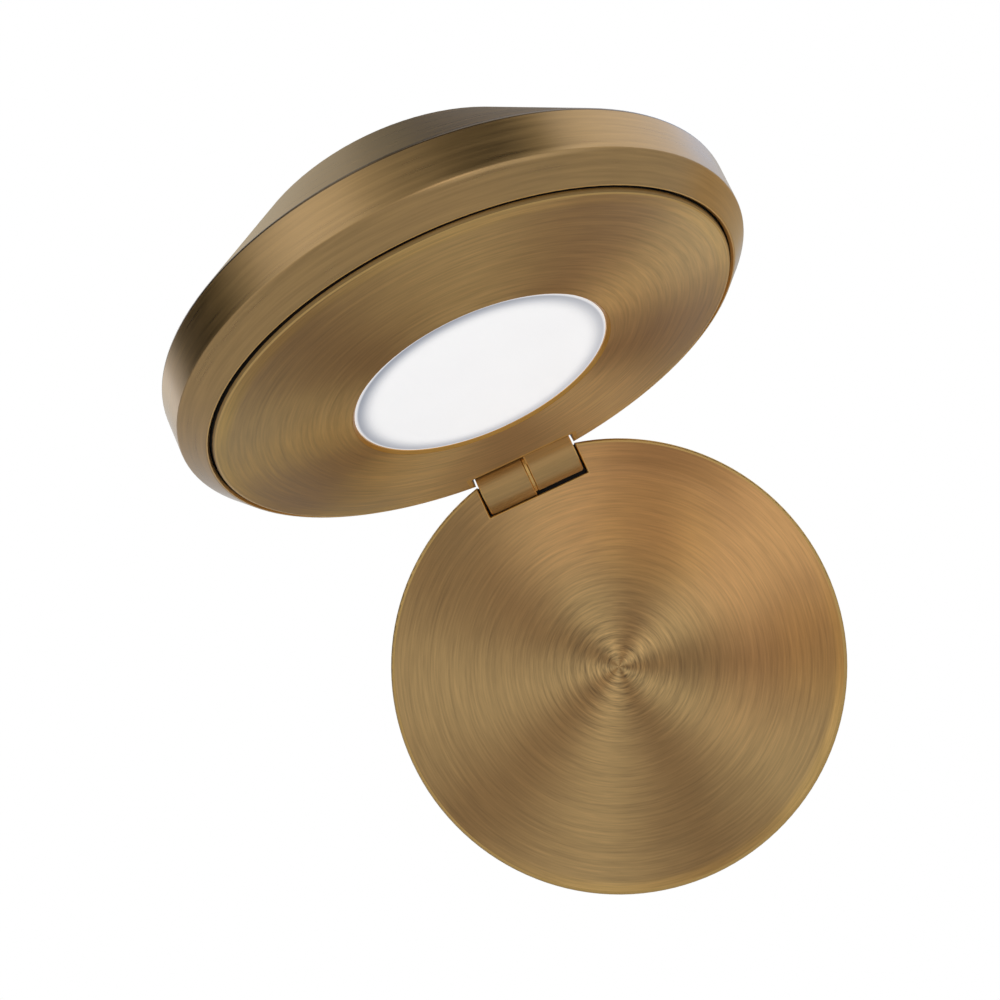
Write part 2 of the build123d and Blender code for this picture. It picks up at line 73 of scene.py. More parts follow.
# ---- shader building helpers ---------------------------------------------------------------------
class NodeTree:
    """Short ways to add and join the nodes of a material or a world."""

    def __init__(self, tree):
        self.nodes = tree.nodes
        self.links = tree.links
        self.nodes.clear()

    def plug(self, value, socket):
        """Joins a socket, or sets a plain value."""
        if isinstance(value, bpy.types.NodeSocket):
            self.links.new(value, socket)
        else:
            socket.default_value = value

    def math(self, operation, a, b=0.0):
        node = self.nodes.new("ShaderNodeMath")
        node.operation = operation
        self.plug(a, node.inputs[0])
        self.plug(b, node.inputs[1])
        return node.outputs[0]

    def add(self, *values):
        total = values[0]
        for value in values[1:]:
            total = self.math("ADD", total, value)
        return total

    def multiply(self, *values):
        total = values[0]
        for value in values[1:]:
            total = self.math("MULTIPLY", total, value)
        return total

    def above(self, value, limit):
        """1 above a limit, 0 elsewhere."""
        return self.math("GREATER_THAN", value, limit)

    def below(self, value, limit):
        """1 below a limit, 0 elsewhere."""
        return self.math("LESS_THAN", value, limit)

    def inside(self, value, low, high):
        """1 between two limits, 0 elsewhere."""
        return self.multiply(self.above(value, low), self.below(value, high))

    def vector_math(self, operation, a, b=(0, 0, 0)):
        node = self.nodes.new("ShaderNodeVectorMath")
        node.operation = operation
        self.plug(a, node.inputs[0])
        self.plug(b, node.inputs[1])
        return node.outputs["Value" if operation in ("DOT_PRODUCT", "LENGTH") else "Vector"]

    def combine(self, x, y, z):
        node = self.nodes.new("ShaderNodeCombineXYZ")
        for value, socket in zip((x, y, z), node.inputs):
            self.plug(value, socket)
        return node.outputs[0]

    def separate(self, vector):
        node = self.nodes.new("ShaderNodeSeparateXYZ")
        self.plug(vector, node.inputs[0])
        return node.outputs

    def noise(self, vector, scale=1.0, detail=2.0, roughness=0.5, w=None):
        node = self.nodes.new("ShaderNodeTexNoise")
        if w is not None:
            node.noise_dimensions = "4D"
            self.plug(w, node.inputs["W"])
        self.plug(vector, node.inputs["Vector"])
        node.inputs["Scale"].default_value = scale
        node.inputs["Detail"].default_value = detail
        node.inputs["Roughness"].default_value = roughness
        return node.outputs["Fac"]

    def remap(self, value, low, high, new_low=0.0, new_high=1.0, smooth=False):
        node = self.nodes.new("ShaderNodeMapRange")
        if smooth:
            node.interpolation_type = "SMOOTHSTEP"
        for item, socket in zip((value, low, high, new_low, new_high), node.inputs):
            self.plug(item, socket)
        return node.outputs[0]

    def rise(self, value, start, end):
        """0 up to the start, 1 from the end, smooth between."""
        return self.remap(value, start, end, smooth=True)

    def fall(self, value, start, end):
        """1 up to the start, 0 from the end, smooth between."""
        return self.remap(value, start, end, 1.0, 0.0, smooth=True)

    def spread(self, noise, low, high):
        """The middle of a noise, where nearly all its values lie, stretched over a range."""
        return self.remap(noise, 0.3, 0.7, low, high)

    def mix(self, factor, a, b):
        node = self.nodes.new("ShaderNodeMix")
        node.data_type = "RGBA"
        self.plug(factor, node.inputs[0])
        self.plug(a, node.inputs[6])
        self.plug(b, node.inputs[7])
        return node.outputs[2]

    def filter(self, colour, factors):
        """Multiplies a colour channel by channel."""
        return self.vector_math("MULTIPLY", colour, factors)

    def tint(self, colour, factor):
        """Multiplies a colour by a grey factor."""
        node = self.nodes.new("ShaderNodeVectorMath")
        node.operation = "SCALE"
        self.plug(colour, node.inputs[0])
        self.plug(factor, node.inputs[3])
        return node.outputs[0]

    def shift(self, colour, change, amount):
        """Adds some amount of a change to a colour."""
        return self.vector_math("ADD", colour, self.tint(change, amount))

    def ramp(self, value, stops):
        """Smooth grey curve through (position, brightness) stops."""
        node = self.nodes.new("ShaderNodeValToRGB")
        node.color_ramp.interpolation = "EASE"
        elements = node.color_ramp.elements
        while len(elements) < len(stops):
            elements.new(1.0)
        for element, (position, brightness) in zip(elements, stops):
            element.position = position
            element.color = (brightness, brightness, brightness, 1)
        self.plug(value, node.inputs[0])
        return node.outputs[0]


class Shader(NodeTree):
    """A Principled material."""

    def __init__(self, name):
        self.material = bpy.data.materials.new(name)
        self.material.use_nodes = True
        super().__init__(self.material.node_tree)
        output = self.nodes.new("ShaderNodeOutputMaterial")
        self.bsdf = self.nodes.new("ShaderNodeBsdfPrincipled")
        self.links.new(self.bsdf.outputs["BSDF"], output.inputs["Surface"])

    def set(self, **values):
        """Sets inputs of the Principled shader, underscores standing for spaces."""
        for name, value in values.items():
            self.plug(value, self.bsdf.inputs[name.replace("_", " ")])

    def bump(self, height, strength, distance):
        node = self.nodes.new("ShaderNodeBump")
        node.inputs["Strength"].default_value = strength
        node.inputs["Distance"].default_value = distance
        self.links.new(height, node.inputs["Height"])
        self.links.new(node.outputs[0], self.bsdf.inputs["Normal"])

    def place(self):
        return self.nodes.new("ShaderNodeTexCoord").outputs["Object"]


class LocalPoint:
    """The shading point in a disc's own frame, with its radius from the frame's z axis."""

    def __init__(self, s, place_frame):
        turn = place_frame.to_3x3()
        self.axis = tuple(turn.col[2])
        self.offset = s.vector_math("SUBTRACT", s.place(), tuple(place_frame.translation))
        self.x, self.y, self.z = (
            s.vector_math("DOT_PRODUCT", self.offset, tuple(turn.col[i])) for i in range(3)
        )
        self.radius = s.math("SQRT", s.add(s.multiply(self.x, self.x), s.multiply(self.y, self.y)))


# ---- colours of the brass, with painted highlights and shade -------------------------------------
PLAIN = (1, 1, 1)                            # a factor that changes nothing
BRASS = (0.487, 0.301, 0.113)
DISC_BRASS = (0.47, 0.30, 0.12)
BARREL_BRASS = (0.56, 0.345, 0.125)
WORN_GOLD_AND_HIGHLIGHT = (0.82, 0.50, 0.15)               # brighter brass on the thin edges: wear, and a painted highlight where they catch the light
RIM_HIGHLIGHT = (0.66, 0.42, 0.13)                # painted highlight on the plate's rim
DISC_RING_HIGHLIGHT = (0.70, 0.44, 0.14)          # painted highlight, a thin ring just inside the disc's edge
DISC_EDGE_DARK_REFLECTION = (0.36, 0.22, 0.07)         # painted dark reflection on the disc's rounded edge
BAND_EDGE_BROWN = (0.13, 0.08, 0.03)         # where the head's band turns into the cone
APERTURE_HIGHLIGHT = (0.60, 0.30, 0.05)           # painted highlight round the lens
RECESS_SHADE = (0.006, 0.004, 0.002)               # painted shade on the walls of the notch and deep in the seam
BRUSHED = {"Anisotropic": 0.78, "Anisotropic_Rotation": 0.25}


# ---- uneven tones of the turned brass, with painted reflections and highlights -------------------
# A spot is (centre, radius where it starts to fade, radius where it is gone), on a disc's face.
# A tone is a factor for each of red, green and blue, and a change is what a patch adds to it.
# The plate's red spot is a painted warm reflection. It adds to the real one from the studio's warm panel.
PLATE_WARM_REFLECTION_SPOT = ((0.030, 0.019), 0.022, 0.058)
PLATE_WARM_REFLECTION_INNER = (0.014, 0.032)             # radii between which the painted warm reflection fades toward the centre
PLATE_WARM_REFLECTION = (0.30, 0.14, 0.08)
PLATE_GILT_SIDE = (0.34, -0.94)              # direction of the gilt part of the rim
PLATE_GILT_REACH = 0.040
PLATE_GILT_RING = (0.0466, 0.0486)
PLATE_GILT = (0.38, 0.36, 0.15)
PLATE_DULL_SPOT = ((0.030, 0.036), 0.008, 0.020)
PLATE_DULL_RING = (0.0430, 0.0455)
PLATE_DULL = (-0.17, -0.17, -0.24)
PLATE_PATCHES = [
    (((0.0197, 0.0235), 0.007, 0.018), (0.12, 0.12, 0.0)),
    (((0.044, -0.016), 0.006, 0.018), (0.18, 0.14, 0.0)),
]

DISC_TONE = (0.90, 0.87, 0.78)
DISC_PLATE_REFLECTION = (0.020, 0.038)                 # the painted reflection of the plate, a lighter stripe, fades between these, from the middle
DISC_PLATE_REFLECTION_SPAN = (-0.030, 0.030)           # along y, from beside the hinge to the far edge,
DISC_PLATE_REFLECTION_STRENGTH = (0.58, 0.06)          # its strength falls
DISC_PLATE_REFLECTION_CHANGE = (1.0, 1.1, 1.4)
DISC_LEFT_TONE = (0.93, 0.92, 0.86)
DISC_SIDE_SPAN = (-0.045, 0.045)             # along x, the disc's right gets lighter by the change
DISC_RIGHT_CHANGE = (0.45, 0.48, 0.66)
DISC_PATCHES = [
    (((0.036, 0.020), 0.010, 0.024), (0.12, 0.17, 0.26)),
    (((-0.038, -0.008), 0.014, 0.028), (0.14, 0.09, -0.10)),
    (((0.014, -0.032), 0.014, 0.030), (-0.22, -0.22, -0.20)),
    (((0.027, -0.008), 0.004, 0.014), (-0.14, -0.13, -0.08)),
]
DISC_GILT_SPOT = ((-0.0315, 0.0340), 0.008, 0.021)
DISC_GILT_RING = (0.0452, 0.0468)
DISC_GILT_EVERYWHERE = 0.8                   # of the gilt ring, what is there all round
DISC_GILT = (0.15, 0.14, -0.02)

# A painted highlight on the edge between the head's bevel and band, on part of the side away from the hinge.
HIGHLIGHT_STRETCH_START = (0.000, 0.010)          # along x, on the side away from the hinge
HIGHLIGHT_STRETCH_END = (0.022, 0.032)
HIGHLIGHT_EDGE_LOW = (-0.0050, -0.0044)           # across the edge between the bevel and the band
HIGHLIGHT_EDGE_HIGH = (-0.0039, -0.0036)
BEVEL_HIGHLIGHT = (0.45, 0.50, 0.65)


def spot(s, at, centre, near, far):
    """1 within the near distance of a centre, falling softly to 0 at the far one."""
    away = s.vector_math("LENGTH", s.combine(s.add(at.x, -centre[0]), s.add(at.y, -centre[1]), 0.0))
    return s.fall(away, near, far)


def patched(s, at, tone, patches):
    """A tone with the change of each patch added over its spot."""
    for place, change in patches:
        tone = s.shift(tone, change, spot(s, at, *place))
    return tone


def plate_tone(s, at):
    """Tone of the plate: a painted warm reflection on the upper right, gilt on the lower rim, dull on the
    upper right rim.
    """
    warm_reflection = s.multiply(spot(s, at, *PLATE_WARM_REFLECTION_SPOT), s.rise(at.radius, *PLATE_WARM_REFLECTION_INNER))
    side_x, side_y = PLATE_GILT_SIDE
    toward = s.add(s.multiply(at.y, side_y), s.multiply(at.x, side_x))
    gilt = s.multiply(s.rise(toward, 0.0, PLATE_GILT_REACH), s.rise(at.radius, *PLATE_GILT_RING))
    dull = s.multiply(spot(s, at, *PLATE_DULL_SPOT), s.rise(at.radius, *PLATE_DULL_RING))
    tone = s.shift(PLAIN, PLATE_WARM_REFLECTION, warm_reflection)
    tone = s.shift(tone, PLATE_GILT, gilt)
    tone = s.shift(tone, PLATE_DULL, dull)
    return patched(s, at, tone, PLATE_PATCHES)


def disc_tone(s, at):
    """Tone of the head's disc: a painted reflection of the plate down the middle, lighter on the right, gilt
    near its edge.
    """
    # Painted reflection of the plate, strongest beside the hinge.
    plate_reflection = s.fall(s.math("ABSOLUTE", at.x), *DISC_PLATE_REFLECTION)
    reflection_lift = s.multiply(plate_reflection, s.remap(at.y, *DISC_PLATE_REFLECTION_SPAN, *DISC_PLATE_REFLECTION_STRENGTH))
    tone = s.shift(DISC_TONE, DISC_PLATE_REFLECTION_CHANGE, reflection_lift)
    tone = s.filter(tone, s.shift(DISC_LEFT_TONE, DISC_RIGHT_CHANGE, s.remap(at.x, *DISC_SIDE_SPAN)))
    tone = patched(s, at, tone, DISC_PATCHES)
    gilt = s.add(spot(s, at, *DISC_GILT_SPOT), DISC_GILT_EVERYWHERE)
    return s.shift(tone, DISC_GILT, s.multiply(gilt, s.rise(at.radius, *DISC_GILT_RING)))


def shell_tone(s, at):
    """Tone of the head's shell: a painted highlight along part of the bevel's edge, away from the hinge."""
    along = s.multiply(s.rise(at.x, *HIGHLIGHT_STRETCH_START), s.fall(at.x, *HIGHLIGHT_STRETCH_END))
    stretch = s.multiply(along, s.above(at.y, 0.0))
    edge = s.multiply(s.rise(at.z, *HIGHLIGHT_EDGE_LOW), s.fall(at.z, *HIGHLIGHT_EDGE_HIGH))
    return s.shift(PLAIN, BEVEL_HIGHLIGHT, s.multiply(stretch, edge))


# ---- brass brushed in circles --------------------------------------------------------------------
# Each layer of strokes follows a circle through the noise: rings per metre, the circle's size at the
# centre, its growth per metre, and the layer's weight.
STROKE_LAYERS = [(2500.0, 1.3, 85.0, 0.55), (1300.0, 0.6, 11.0, 0.45)]
SMALLEST_RADIUS = 0.0004                     # keeps the strokes' angle steady right at the centre
STROKE_REACH = 0.030                         # strokes get stronger from here toward the centre
CENTRE_FADE = (0.0008, 0.0032)               # and fade again between these radii,
CENTRE_STRENGTH = 0.3                        # to this share of their strength
STROKE_DEPTH = 0.00003
ROUGHNESS_SWING = 0.04                       # how far the strokes move the roughness
RECESS_ROUGHNESS = 0.5                       # what the walls under the painted shade add to the roughness

# The wedges are a painted reflection, the light and dark fan that brushed brass shows.
WEDGE_COUNT = 5
WEDGE_START = math.radians(15.0)             # first bright wedge, from the frame's x axis
WEDGE_DRIFT_SIDE = math.radians(201.0)       # where a drift of the wedges is strongest
WEDGE_SWAY = 0.35                            # unevenness of their edges, in radians of one wedge's wave
WEDGE_SWAY_SCALE = 45.0

SEAM_SPAN = (-0.030, 0.040)                  # along x, the painted shade in the seam starts deeper and deeper,
SEAM_DEEPER = 1.7                            # by this factor in the end
FRONT = 0.001                                # a height just in front of a face


def recess_shade_mask(s, at, disc, seam_depth):
    """1 where deep shade is painted: on the walls of the hinge notch and, on the head, deep in the seam."""
    notch = s.multiply(
        s.inside(at.x, -NOTCH_HALF, NOTCH_HALF),
        s.above(s.multiply(at.y, disc.hinge_side), disc.notch_wall),
        s.inside(at.z, -NOTCH_DEPTH, -NOTCH_LIGHT),
    )
    if seam_depth is None:
        return notch
    start = s.remap(at.x, *SEAM_SPAN, -seam_depth, -seam_depth * SEAM_DEEPER)
    gap = s.multiply(s.inside(at.radius, DISC_SIDE, HEAD_BORE), s.inside(at.z, -SEAM_FOOT, start))
    return s.math("MAXIMUM", notch, gap)


def notch_edge_highlight(s, at, disc, width):
    """1 on the edge round the hinge notch, which gets worn gold and a painted highlight."""
    return s.multiply(
        s.inside(at.x, -NOTCH_HALF - width, NOTCH_HALF + width),
        s.above(s.multiply(at.y, disc.hinge_side), disc.notch_wall - width),
        s.above(at.z, -NOTCH_LIGHT),
    )


def brush_round(s, at):
    """Sets the tangent to run round the circle, so that the highlight spreads across the brushing."""
    around = s.vector_math("CROSS_PRODUCT", at.axis, at.offset)
    to_world = s.nodes.new("ShaderNodeVectorTransform")
    to_world.vector_type = "VECTOR"
    to_world.convert_from = "OBJECT"
    to_world.convert_to = "WORLD"
    s.links.new(around, to_world.inputs[0])
    s.set(Tangent=s.vector_math("NORMALIZE", to_world.outputs[0]))


def ring_strokes(s, at, detail):
    """Fine rings whose strokes fade in and out along the circle, about -1 to 1."""
    safe = s.math("MAXIMUM", at.radius, SMALLEST_RADIUS)
    cosine = s.math("DIVIDE", at.x, safe)
    sine = s.math("DIVIDE", at.y, safe)
    layers = []
    for rings_per_metre, centre_size, growth, weight in STROKE_LAYERS:
        size = s.add(s.multiply(at.radius, growth), centre_size)
        across = s.multiply(at.radius, rings_per_metre)
        place = s.combine(across, s.multiply(at.z, rings_per_metre), s.multiply(cosine, size))
        grain = s.noise(place, detail=detail, roughness=0.6, w=s.multiply(sine, size))
        layers.append(s.spread(grain, -weight, weight))
    return s.add(*layers)


def stroke_strength(s, at, stroke, centre_stroke):
    """How strongly the strokes colour the brass, with some more toward the centre."""
    nearness = s.math("POWER", s.remap(at.radius, 0.0, STROKE_REACH, 1.0, 0.0), 3.0)
    strength = s.add(s.multiply(nearness, centre_stroke), stroke)
    return s.multiply(strength, s.remap(at.radius, *CENTRE_FADE, CENTRE_STRENGTH, 1.0, smooth=True))


def painted_wedge_reflection(s, at, reflection_wedges, drift):
    """Painted reflection: the tone of a fan of light and dark wedges."""
    sway = s.spread(s.noise(s.place(), WEDGE_SWAY_SCALE), -WEDGE_SWAY, WEDGE_SWAY)
    around = s.math("ARCTAN2", at.y, at.x)
    nearness = s.add(s.math("COSINE", s.add(around, -WEDGE_DRIFT_SIDE)), 1.0)
    drifted = s.add(around, s.multiply(nearness, -drift / 2))
    wave = s.add(s.multiply(drifted, WEDGE_COUNT), -WEDGE_COUNT * WEDGE_START, sway)
    return s.shift(PLAIN, reflection_wedges, s.math("COSINE", wave))


def turned_brass(name, disc, toning, base=BRASS, metallic=1.0, roughness=0.34, coat=0.7, coat_roughness=0.35,
                 reflection_wedges=None, drift=0.0, stroke=0.2, centre_stroke=0.0, detail=2.0, bump=0.0,
                 notch_rim=0.0003, seam_depth=None, edges=()):
    """Brass brushed in circles round a disc's axis, with an optional painted reflection of fan-shaped light
    and dark wedges.

    reflection_wedges is how strongly the painted reflection wedges sway red, green and blue; drift is the
    angle that turns them on one side.
    seam_depth is how deep below the face the painted shade in the seam starts; edges are (inner radius,
    outer radius, lowest, highest, colour) of thin edges painted in another colour, mostly painted highlights
    and painted shade.
    """
    s = Shader(name)
    at = LocalPoint(s, disc.frame)
    strokes = ring_strokes(s, at, detail)
    shade = s.add(s.multiply(strokes, stroke_strength(s, at, stroke, centre_stroke)), 1.0)
    colour = s.filter(s.tint(base, shade), toning(s, at))
    # Painted reflection: the fan of light and dark wedges.
    if reflection_wedges:
        colour = s.filter(colour, painted_wedge_reflection(s, at, reflection_wedges, drift))
    # The notch's edge: worn gold with a painted highlight.
    colour = s.mix(notch_edge_highlight(s, at, disc, notch_rim), colour, WORN_GOLD_AND_HIGHLIGHT + (1,))
    # Thin edges painted in another colour: painted highlights, a painted dark reflection, and a brown line
    # where the band meets the cone.
    for inner, outer, lowest, highest, edge_paint in edges:
        on_edge = s.multiply(s.inside(at.radius, inner, outer), s.inside(at.z, lowest, highest))
        colour = s.mix(on_edge, colour, edge_paint + (1,))
    # Deep shade painted on the notch walls and in the seam, with rougher brass there.
    recess_shade = recess_shade_mask(s, at, disc, seam_depth)
    s.set(Base_Color=s.mix(recess_shade, colour, RECESS_SHADE + (1,)), Metallic=metallic)
    rough = s.remap(strokes, -1.0, 1.0, roughness - ROUGHNESS_SWING, roughness + ROUGHNESS_SWING)
    s.set(Roughness=s.add(rough, s.multiply(recess_shade, RECESS_ROUGHNESS)))
    s.set(Coat_Weight=coat, Coat_Roughness=coat_roughness, **BRUSHED)
    brush_round(s, at)
    if bump:
        s.bump(strokes, bump, STROKE_DEPTH)
    return s.material


def plate_brass():
    # A painted highlight along the plate's rim; the wedges are a painted reflection.
    rim = (PLATE_RADIUS - 0.0008, PLATE_RADIUS + 0.001, -0.0006, FRONT, RIM_HIGHLIGHT)
    return turned_brass(
        "plate_brass", PLATE, plate_tone, reflection_wedges=(0.24, 0.30, 0.37), drift=math.radians(6.5),
        stroke=0.24, centre_stroke=0.85, bump=0.1, edges=[rim],
    )


def disc_brass():
    # A painted highlight inside the disc's edge, a painted dark reflection on the edge itself, and a painted
    # highlight round the lens.
    ring = (DISC_SIDE - 0.0005, DISC_SIDE - 0.0002, -0.0004, FRONT, DISC_RING_HIGHLIGHT)
    edge = (DISC_SIDE - 0.0002, DISC_SIDE + 0.0001, -0.0008, FRONT, DISC_EDGE_DARK_REFLECTION)
    aperture_highlight = (APERTURE - 0.0005, APERTURE + 0.0006, -0.0006, FRONT, APERTURE_HIGHLIGHT)
    return turned_brass(
        "disc_brass", HEAD, disc_tone, base=DISC_BRASS, metallic=0.45, coat=0.2, reflection_wedges=(0.25, 0.31, 0.33),
        stroke=0.24, notch_rim=0.0010, seam_depth=0.0005, edges=[ring, edge, aperture_highlight],
    )


def shell_brass():
    # Painted highlight on the edge of the shell's bore.
    mouth_highlight = (HEAD_BORE - 0.0001, HEAD_BORE + 0.0005, -0.0012, FRONT, WORN_GOLD_AND_HIGHLIGHT)
    band_edge = (BAND_RADIUS - 0.0005, BAND_RADIUS + 0.0001, -0.0116, -0.0109, BAND_EDGE_BROWN)
    return turned_brass(
        "shell_brass", HEAD, shell_tone, roughness=0.3, coat_roughness=0.15, stroke=0.16, detail=1.0,
        seam_depth=0.0013, edges=[mouth_highlight, band_edge],
    )


# ---- brass brushed along the hinge ---------------------------------------------------------------
GOLD_EDGE_WIDTH = 0.0003                          # of the barrel's gold edges, worn and painted as highlights
BARREL_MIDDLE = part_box("head_knuckle")[0][0] + GOLD_EDGE_WIDTH       # those beside the washer end here,
BARREL_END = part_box("head_knuckle")[1][0] - GOLD_EDGE_WIDTH          # those at the ends start here,
BARREL_TOP_HIGHLIGHT = HINGE_POINT.z + 0.0048          # and the painted highlight along its top starts here
ALONG_SCALE = 70.0                           # scale of the noise along the strokes
ACROSS_SCALE = 2600.0                        # and across them
GRAIN_SWING = 0.05                           # how far a grain moves the roughness
GRAIN_BUMP = 0.05
GRAIN_DEPTH = 0.0001


def straight_brass(name, base, roughness=0.36):
    """Brass brushed along X, for the hinge barrel, with worn gold and a painted highlight at its ends and
    middle, and a painted highlight along its top.
    """
    s = Shader(name)
    x, y, z = s.separate(s.place())
    scales = (ALONG_SCALE, ACROSS_SCALE, ACROSS_SCALE)
    stretched = s.combine(*(s.multiply(value, scale) for value, scale in zip((x, y, z), scales)))
    grain = s.noise(stretched, detail=3.0, roughness=0.6)
    from_middle = s.math("ABSOLUTE", x)
    end = s.above(from_middle, BARREL_END)
    # Worn gold with painted highlights at the ends and beside the washer, and a painted highlight along the
    # top.
    worn_and_highlight = s.math("MAXIMUM", end, s.below(from_middle, BARREL_MIDDLE))
    worn_and_highlight = s.math("MAXIMUM", worn_and_highlight, s.above(z, BARREL_TOP_HIGHLIGHT))
    colour = s.mix(worn_and_highlight, base + (1,), WORN_GOLD_AND_HIGHLIGHT + (1,))
    s.set(Base_Color=s.tint(colour, s.spread(grain, 0.88, 1.12)), Metallic=1.0)
    s.set(Roughness=s.spread(grain, roughness - GRAIN_SWING, roughness + GRAIN_SWING))
    s.set(Coat_Weight=0.7, Coat_Roughness=0.35, **BRUSHED)
    s.set(Tangent=s.combine(s.math("SUBTRACT", 1.0, end), end, 0.0))
    return s.material


# ---- opal lens and plain materials ---------------------------------------------------------------
LENS_RING = (0.0050, 0.0004)                 # distances from the lens's edge where the ring deepens
LENS_RIM = (0.0006, 0.0002)                  # and where the pale rim outside it begins
LENS_SLOPE = (-20.0, 30.0)                   # per metre of x and of y, toward the ring's deeper side
LENS_SIDES = (-0.8, 0.8)                     # what the slope comes to on the two sides
LENS_DEPTH = (0.38, 0.66)                    # and how deep the ring is there
LENS_RIM_LIFT = 0.8                          # how much of the ring's grey the rim takes back
LENS_GREY = (1.0, 0.96, 0.87)                # what the ring takes away from red, green and blue
LENS_BODY = (0.50, 0.50, 0.51)
LENS_LIGHT = (0.985, 0.99, 1.0)
LENS_STRENGTH = 0.69


def opal_material():
    """Lit opal lens: even white, a grey ring just inside a pale rim, deepest on the upper left."""
    s = Shader("opal_lens")
    at = LocalPoint(s, HEAD_FRAME)
    ring = s.rise(at.radius, *(LENS_RADIUS - inset for inset in LENS_RING))
    rim = s.remap(at.radius, *(LENS_RADIUS - inset for inset in LENS_RIM))
    slope_x, slope_y = LENS_SLOPE
    slope = s.add(s.multiply(at.x, slope_x), s.multiply(at.y, slope_y))
    side = s.remap(slope, *LENS_SIDES, *LENS_DEPTH)
    dim = s.math("SUBTRACT", s.multiply(ring, ring, side), s.multiply(rim, side, LENS_RIM_LIFT))
    cloud = s.spread(s.noise(s.place(), 90.0), 0.992, 1.008)
    light = s.tint(s.vector_math("SUBTRACT", PLAIN, s.tint(LENS_GREY, dim)), cloud)
    s.set(Base_Color=s.filter(light, LENS_BODY), Roughness=0.35)
    s.set(Emission_Color=s.filter(light, LENS_LIGHT), Emission_Strength=LENS_STRENGTH)
    return s.material


def plain_grain(name, colour, roughness, metallic=0.0, grain_scale=900.0, contrast=0.08, specular=0.5):
    """Moulded plastic, rubber or plated steel with a fine grain."""
    s = Shader(name)
    grain = s.noise(s.place(), grain_scale, detail=3.0)
    s.set(Base_Color=s.tint(colour, s.spread(grain, 1.0 - contrast, 1.0 + contrast)), Metallic=metallic)
    s.set(Roughness=s.spread(grain, roughness - GRAIN_SWING, roughness + GRAIN_SWING))
    s.set(Specular_IOR_Level=specular)
    s.bump(grain, GRAIN_BUMP, GRAIN_DEPTH)
    return s.material


# ---- materials on the CAD nodes ------------------------------------------------------------------
def dress(material, *names):
    """Gives CAD nodes their material."""
    for node in names:
        slots = NODES[node].data.materials
        slots.clear()
        slots.append(material)


def dress_all():
    dress(plate_brass(), "front_plate")
    dress(disc_brass(), "inner_disc")
    dress(shell_brass(), "head_shell")
    dress(straight_brass("barrel_brass", BARREL_BRASS), "plate_knuckle", "head_knuckle")
    # The washer and pin caps are all in the gold that stands for wear and painted highlight.
    dress(
        straight_brass("cap_brass", WORN_GOLD_AND_HIGHLIGHT, roughness=0.3),
        "friction_washer", "plate_pin_cap", "head_pin_cap",
    )
    dress(opal_material(), "lens")
    dress(
        plain_grain("zinc_steel", (0.42, 0.42, 0.40), 0.38, metallic=1.0),
        "wall_bracket", "plate_grub_screws", "plate_knuckle_screws", "terminal_screws", "retainer_screws",
        "led_board_screws", "heat_sink_screws", "driver_screws", "head_knuckle_screws",
    )
    dress(
        plain_grain("spring_steel", (0.26, 0.26, 0.27), 0.3, metallic=1.0),
        "hinge_pin", "spring_washer", "tension_nut", "retaining_clips",
    )
    dress(
        plain_grain("black_rubber", (0.006, 0.006, 0.006), 0.85, contrast=0.3, specular=0.1),
        "rim_seal", "cable_grommet", "seam_seal", "lens_gasket",
    )
    dress(plain_grain("lead_sheath", (0.02, 0.02, 0.02), 0.5), "plate_lead", "head_lead")
    dress(
        plain_grain("white_plastic", (0.72, 0.72, 0.69), 0.45),
        "terminal_block", "lens_retainer", "reflector",
    )
    dress(plain_grain("cast_aluminium", (0.50, 0.51, 0.52), 0.42, metallic=1.0), "heat_sink", "led_board")
    dress(plain_grain("circuit_green", (0.02, 0.10, 0.05), 0.35), "driver_board", "closing_sensor")
    dress(plain_grain("led_phosphor", (0.85, 0.66, 0.20), 0.4), "led_chips")
    dress(plain_grain("component_black", (0.015, 0.015, 0.016), 0.4), "driver_parts")
    dress(plain_grain("nickel", (0.55, 0.53, 0.50), 0.2, metallic=1.0), "keeper_magnet")


# ---- camera --------------------------------------------------------------------------------------
VIEW_DISTANCE = 0.2460       # from the plate's face
VIEW_RISE = 0.0353           # above the plate's centre
VIEW_SIDE = 0.0011           # to its right
VIEW_ROLL = math.radians(25.0)
SENSOR = 36.0                # millimetres
FOCAL_LENGTH = 1.122 * SENSOR
SHIFT_X = -0.0558            # shares of the picture's width
SHIFT_Y = 0.0186


def make_camera():
    data = bpy.data.cameras.new("view")
    data.sensor_width = SENSOR
    data.lens = FOCAL_LENGTH
    data.shift_x = SHIFT_X
    data.shift_y = SHIFT_Y
    data.clip_start = 0.01
    camera = bpy.data.objects.new("view", data)
    right = Vector((math.cos(VIEW_ROLL), 0, -math.sin(VIEW_ROLL)))
    up = Vector((math.sin(VIEW_ROLL), 0, math.cos(VIEW_ROLL)))
    turn = Matrix((right, up, right.cross(up))).transposed()
    place = Vector((VIEW_SIDE, PLATE_FACE_Y - VIEW_DISTANCE, VIEW_RISE))
    camera.matrix_world = Matrix.Translation(place) @ turn.to_4x4()
    bpy.context.collection.objects.link(camera)
    bpy.context.scene.camera = camera


# ---- stage and light -----------------------------------------------------------------------------
FLOOR_PLACE = (0, -0.25, -0.28)
FLOOR_SIZE = (1.2, 0.8, 1)
FLOOR_PAINT = (0.88, 0.88, 0.87)

